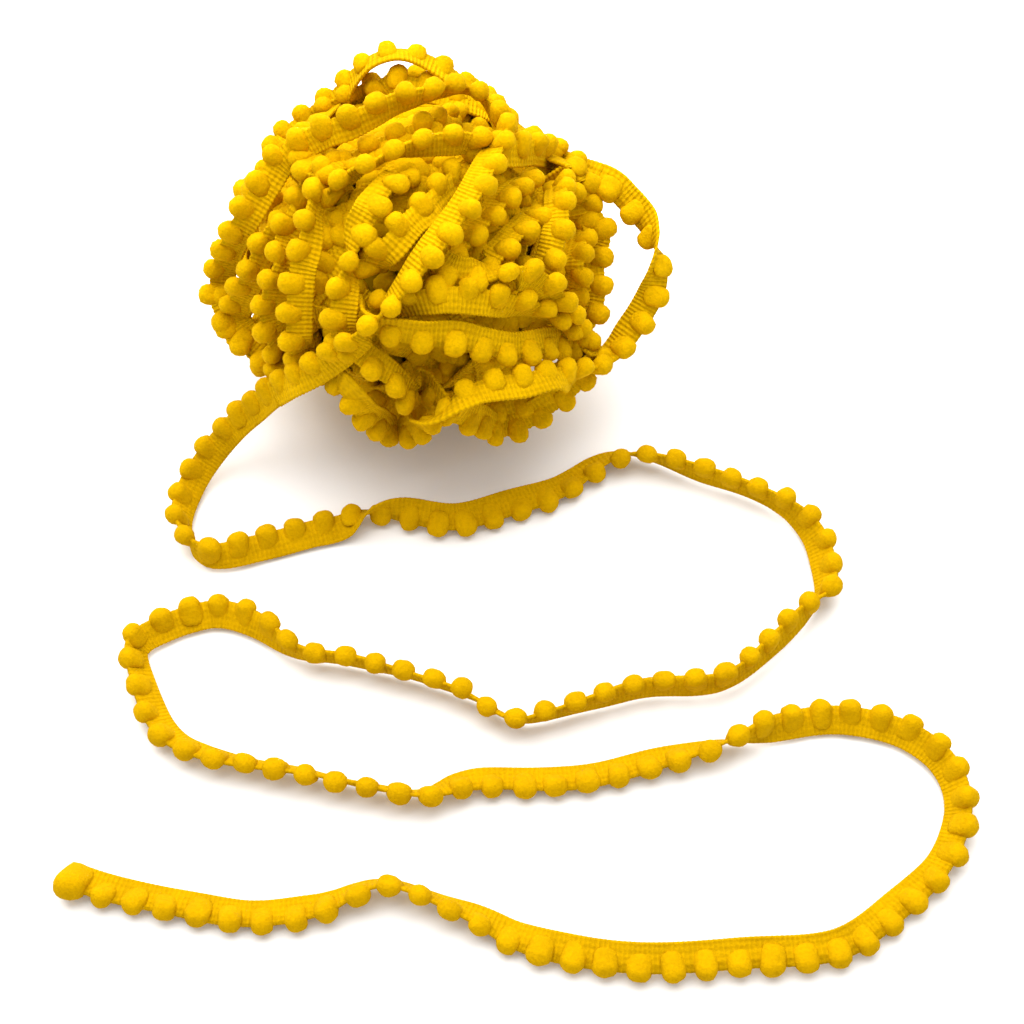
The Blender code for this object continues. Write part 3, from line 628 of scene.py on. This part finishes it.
def pompom_shell(line, first, last, girth=BALL_GIRTH, end_radius=None, template=BALL_GLOBE):
    """Pompoms one pitch apart: globes squared off by (|x|^p + |y|^p + |z|^p)^(-1/p), each of its own
    size, tilt and lumps. Towards the tape, where skirt = -y, they spread along it, reach out over it
    and thin, so that they end in a skirt on the tape."""
    count = max(1, round((last - first) / PITCH))
    pitch = (last - first) / count
    lengths = first + (np.arange(count) + 0.5) * pitch
    lengths = lengths + RNG.uniform(-PITCH_SPREAD, PITCH_SPREAD, count)
    place, along, across, normal = read(line, lengths)
    size = girth * POMPOM_RADIUS * RNG.uniform(*SIZES, (count, 1, 3)) * STRETCH
    if end_radius:
        size[-1] = end_radius * END_STRETCH
    globe, globe_faces = template
    x, y, z = globe.T
    phase = RNG.uniform(0, FULL_TURN, (4, count, 1))
    lumps = 1 + 0.03 * np.sin(3 * x + 4 * y + phase[0]) + 0.025 * np.sin(5 * z - 2 * y + phase[1])
    lumps = lumps + 0.02 * np.sin(7 * y + 6 * x + phase[2])
    squared = (np.abs(globe) ** SQUARED).sum(axis=1) ** (-1 / SQUARED)
    skirt = np.clip(-y, 0, 1)
    drawn = np.stack([(1 - 0.85 * skirt ** 2) ** -0.45, 1 + 0.75 * skirt, 1 - 0.45 * skirt], axis=-1)
    form = globe * squared[:, None] * drawn * lumps[..., None] * size
    tilt = RNG.uniform(-TILT_SPREAD, TILT_SPREAD, (3, count, 1))
    along = unit(along + tilt[0] * across + tilt[1] * normal)
    across = across_strand(along, across + tilt[2] * normal)
    normal = np.cross(along, across)
    stray = RNG.uniform(-STRAY_SPREAD, STRAY_SPREAD, (count, 2, 1)) + np.array(((0.0,), (OUTWARD,)))
    centre = place + stray[:, 0] * normal + stray[:, 1] * across
    corners = (
        centre[:, None] + form[..., :1] * along[:, None] + form[..., 1:2] * across[:, None]
        + form[..., 2:] * normal[:, None]
    )
    faces = globe_faces + (np.arange(count) * len(globe))[:, None, None]
    uv = np.stack(np.broadcast_arrays(lengths[:, None], y * POMPOM_RADIUS), axis=-1)
    return corners.reshape(-1, 3), uv.reshape(-1, 2), faces.reshape(-1, 4)


def core_shell():
    """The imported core: an ellipsoid inside the turns, with lumps of 9 * x + 4 * y by 8 * z + 5 * x
    radians, its poles closed by small lids."""
    polar, angle = np.meshgrid(
        (np.arange(CORE_RINGS) + 0.5) / CORE_RINGS * math.pi,
        np.arange(CORE_CORNERS) / CORE_CORNERS * 2 * math.pi, indexing="ij",
    )
    out = np.stack([
        np.sin(polar) * np.cos(angle), np.sin(polar) * np.sin(angle), np.cos(polar),
    ], axis=-1).reshape(-1, 3)
    lumps = CORE_LUMP * np.sin(9 * out[:, 0] + 4 * out[:, 1]) * np.sin(8 * out[:, 2] + 5 * out[:, 0])
    corners = out * (reach(out) + CORE_LIFT + lumps - hollow(out))[:, None] + CENTRE
    return corners, out[:, :2], tube_faces(CORE_RINGS, CORE_CORNERS)[:, ::-1]


# ---------------------------------------------------------------- finishes


def maths(nodes, links, operation, *values):
    """The result of one arithmetic node, whose inputs are numbers or other nodes' results."""
    made = nodes.new("ShaderNodeMath")
    made.operation = operation
    for socket, value in zip(made.inputs, values):
        if isinstance(value, float):
            socket.default_value = value
        else:
            links.new(value, socket)
    return made.outputs[0]


def noise(nodes, links, scale, detail, roughness):
    """Soft noise in the piece's own coordinates."""
    place = nodes.new("ShaderNodeTexCoord")
    made = nodes.new("ShaderNodeTexNoise")
    made.inputs["Scale"].default_value = scale
    made.inputs["Detail"].default_value = detail
    made.inputs["Roughness"].default_value = roughness
    links.new(place.outputs["Object"], made.inputs["Vector"])
    return made.outputs["Fac"]


def ribs(nodes, links):
    """The knit on the tape's own UV map, a rib each RIB along it and a chain of loops each CHAIN
    across it: half of sin(2 pi along / RIB) + 0.6 * sin(2 pi across / CHAIN)."""
    uv = nodes.new("ShaderNodeUVMap")
    uv.uv_map = "trim"
    split = nodes.new("ShaderNodeSeparateXYZ")
    links.new(uv.outputs["UV"], split.inputs["Vector"])
    waves = [
        maths(nodes, links, "SINE", maths(
            nodes, links, "MULTIPLY", split.outputs[axis], 2 * math.pi / (pitch * MM)
        ))
        for axis, pitch in (("X", RIB), ("Y", CHAIN))
    ]
    both = maths(nodes, links, "MULTIPLY_ADD", waves[1], 0.6, waves[0])
    return maths(nodes, links, "MULTIPLY", both, 0.5)


def yarn(name, colour, shade, strand_scale, bump, ribbed=0.0):
    """Dyed yarn: FIBRES * fine fibres + PATCHES * soft patches, in relief and in colour from shade to
    colour. A tape has ribbed * its ribs added to the relief, and a smaller share of that to the colour,
    as painted shade in the grooves of its ribs and loops."""
    made = bpy.data.materials.new(name)
    made.use_nodes = True
    nodes, links = made.node_tree.nodes, made.node_tree.links
    shader = nodes["Principled BSDF"]
    for socket, value in MATT.items():
        shader.inputs[socket].default_value = value
    fibres = maths(nodes, links, "MULTIPLY", noise(nodes, links, strand_scale, 4.0, 0.65), FIBRES)
    patches = noise(nodes, links, PATCH_SCALE, 2.0, 0.5)
    tone = relief = maths(nodes, links, "MULTIPLY_ADD", patches, PATCHES, fibres)
    if ribbed:
        knit = ribs(nodes, links)
        # The knit's ribs and loops are also painted into the colour, darker in their grooves: painted
        # shade.
        tone = maths(nodes, links, "MULTIPLY_ADD", knit, KNIT_SHADE_SHARE * ribbed, relief)
        relief = maths(nodes, links, "MULTIPLY_ADD", knit, ribbed, relief)
    ramp = nodes.new("ShaderNodeValToRGB")
    for element, position, value in zip(ramp.color_ramp.elements, RAMP, (shade, colour)):
        element.position, element.color = position, (*value, 1.0)
    links.new(tone, ramp.inputs["Fac"])
    links.new(ramp.outputs["Color"], shader.inputs["Base Color"])
    raised = nodes.new("ShaderNodeBump")
    raised.inputs["Strength"].default_value = bump
    raised.inputs["Distance"].default_value = RELIEF
    links.new(relief, raised.inputs["Height"])
    links.new(raised.outputs["Normal"], shader.inputs["Normal"])
    return made


MATT = {
    "Roughness": 0.92, "Specular IOR Level": 0.03,
    "Sheen Weight": 0.10, "Sheen Roughness": 0.6, "Sheen Tint": (1.0, 0.76, 0.0, 1.0),
}
FIBRES = 0.55
PATCHES = 0.45
PATCH_SCALE = 180.0      # soft patches to a metre
# How much of the knit goes into the colour: painted shade in its grooves.
KNIT_SHADE_SHARE = 0.3
RAMP = (0.36, 0.60)      # the tones that get the full shade and the full colour
RELIEF = 0.0006          # metres
POMPOM_YARN = yarn("pompom_yarn", (0.68, 0.382, 0.0), (0.50, 0.275, 0.0), 1300.0, 1.0)
# A darker copy of the pompom yarn for the tail: painted shade that dims the tail under the lamps.
SHADED_TAIL_YARN = yarn("tail_pompom_yarn_painted_shade", (0.575, 0.318, 0.0), (0.465, 0.250, 0.0), 1300.0, 1.0)
TAPE_KNIT = yarn("tape_knit", (0.64, 0.360, 0.0), (0.49, 0.268, 0.0), 1500.0, 0.75, 0.5)
# A darker copy of the tape knit for the tail, with weaker ribs. The darker colour is painted shade that
# dims the tail under the lamps.
SHADED_TAIL_KNIT = yarn("tail_tape_knit_painted_shade", (0.56, 0.308, 0.0), (0.44, 0.236, 0.0), 1500.0, 0.75, 0.3)
# The core's yarn is the trim's yarn made much darker: painted shade for the deep inside of the ball,
# seen through its gaps.
SHADED_CORE_YARN = yarn("core_yarn_painted_shade", (0.30, 0.175, 0.0), (0.22, 0.125, 0.0), 900.0, 0.5)


# ---------------------------------------------------------------- the trim

# The ball's filling turns.
fill = [fill_turn(index) for index in range(FILL_TURNS)]

# Its outer turns, each laid on what is under it.
outer = [settle(strand(*ball_points(tucked(rows))), *TURN_SETTLE) for rows in OUTER_TURNS]
loop = settle(strand(*ball_points(LOOP)), *LOOP_SETTLE)

# The last turn and the tail are one strand, of which only the part on the ball is settled.
over_points, over_sides = ball_points(OVERHAND)
tail_run, tail_sides = tail_points(TAIL)
long_strand = strand(np.vstack([over_points, tail_run]), np.vstack([over_sides, tail_sides]))
over_end = length_near(long_strand, over_points[-1])
on_ball = long_strand[0] < over_end
over_part = tuple(table[on_ball] for table in long_strand)
over_laid = settle(over_part, *OVERHAND_SETTLE)
long_strand = measured(
    np.vstack([over_laid[1], long_strand[1][~on_ball]]),
    np.vstack([over_laid[2], long_strand[2][~on_ball]]),
)
tail_start = length_near(long_strand, over_points[-1]) + TAIL_FREE
tail_end = long_strand[0][-1]

# The core is made in the darker yarn: painted shade.
core = joined("ball_core", [core_shell()], SHADED_CORE_YARN)
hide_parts("ball")

inmost = inmost_turns()
inmost_row = joined(
    "inmost_pompoms", [pompom_shell(inmost, CUT, inmost[0][-1] - CUT)], POMPOM_YARN
)
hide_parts("ball")

half_fill = FILL_TURNS // 2
for number, part in enumerate((fill[:half_fill], fill[half_fill:]), 1):
    spans = [(line, CUT, line[0][-1] - CUT) for line in part]
    row = joined(
        f"fill_pompoms_{number}", [pompom_shell(*span) for span in spans], POMPOM_YARN
    )
    tape = joined(
        f"fill_tape_{number}", [tape_shell(*span, rib_rings=1) for span in spans], TAPE_KNIT
    )
    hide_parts("ball")
    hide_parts("ball")

spans = [(line, CUT, line[0][-1] - CUT) for line in outer]
spans += [
    (long_strand, 2 * CUT, tail_start), (loop, CUT, LOOP_FREE[0]),
    (loop, LOOP_FREE[1], loop[0][-1] - CUT),
]
row = joined("outer_pompoms", [pompom_shell(*span) for span in spans], POMPOM_YARN)
tape = joined("outer_tape", [tape_shell(*span) for span in spans], TAPE_KNIT)
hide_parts("ball")
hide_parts("ball")

nodes = sorted(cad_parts)
loop_row = joined(
    "loop_row", [pompom_shell(loop, *LOOP_FREE, FREE_GIRTH, template=FREE_GLOBE)],
    POMPOM_YARN,
)
loop_band = joined("loop_band", [tape_shell(loop, *LOOP_FREE, inner=FREE_EDGE)], TAPE_KNIT)
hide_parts(*[name for name in nodes if name.startswith("loop_pompoms")])
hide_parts("loop_tape")

# The tail is made in the darker copies of the yarn and knit: painted shade.
tail_row = joined(
    "tail_row", [pompom_shell(long_strand, tail_start, tail_end, FREE_GIRTH, END_RADIUS, FREE_GLOBE)],
    SHADED_TAIL_YARN,
)
tail_band = joined(
    "tail_band", [tape_shell(long_strand, tail_start, tail_end - TAIL_CUT, inner=FREE_EDGE)],
    SHADED_TAIL_KNIT,
)
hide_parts(*[name for name in nodes if name.startswith("tail_pompoms")])
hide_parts("tail_tape")


# ---------------------------------------------------------------- the set


FLOOR = 3                # metres from its middle to its edges
PAPER = (0.88, 0.88, 0.88, 1.0)
WORLD_LIGHT = 0.70       # from all round


def lamp(name, place, aim, size, power):
    """A square soft light at place that faces aim, in metres and watts."""
    data = bpy.data.lights.new(name, "AREA")
    data.size, data.energy = size, power
    made = bpy.data.objects.new(name, data)
    bpy.context.scene.collection.objects.link(made)
    made.location = place
    made.rotation_euler = (Vector(aim) - Vector(place)).to_track_quat("-Z", "Y").to_euler()


floor_mesh = bpy.data.meshes.new("floor")
floor_mesh.from_pydata(
    [(-FLOOR, -FLOOR, 0), (FLOOR, -FLOOR, 0), (FLOOR, FLOOR, 0), (-FLOOR, FLOOR, 0)], [], [(0, 1, 2, 3)]
)
paper = bpy.data.materials.new("pale_floor")
paper.use_nodes = True
paper.node_tree.nodes["Principled BSDF"].inputs["Base Color"].default_value = PAPER
paper.node_tree.nodes["Principled BSDF"].inputs["Roughness"].default_value = 0.9
floor_mesh.materials.append(paper)
floor = bpy.data.objects.new("floor", floor_mesh)
bpy.context.scene.collection.objects.link(floor)

world = bpy.data.worlds.new("studio")
world.use_nodes = True
world.node_tree.nodes["Background"].inputs["Color"].default_value = (1.0, 1.0, 1.0, 1.0)
world.node_tree.nodes["Background"].inputs["Strength"].default_value = WORLD_LIGHT
bpy.context.scene.world = world
bpy.context.scene.view_settings.view_transform = "Standard"

lamp("key", (-0.07, 0.22, 0.54), (0.0, -0.02, 0.03), 0.9, 10.5)
lamp("top", (0.3, -0.3, 0.9), (0.0, -0.03, 0.02), 0.8, 1.0)

CAMERA_TILT = 58.0       # degrees above the horizon
CAMERA_RANGE = 0.423     # from the point that it aims at
CAMERA_AIM = (0.023, -0.048, 0.0)
CAMERA_LENS = 63.28      # millimetres, for a sensor 36 mm wide
down = math.radians(CAMERA_TILT)
camera_data = bpy.data.cameras.new("camera")
camera_data.sensor_width = 36.0
camera_data.lens = CAMERA_LENS
camera = bpy.data.objects.new("camera", camera_data)
camera.location = (
    CAMERA_AIM[0], CAMERA_AIM[1] - CAMERA_RANGE * math.cos(down), CAMERA_RANGE * math.sin(down)
)
camera.rotation_euler = (math.radians(90 - CAMERA_TILT), 0.0, 0.0)
bpy.context.scene.collection.objects.link(camera)
bpy.context.scene.camera = camera

bpy.context.view_layer.update()
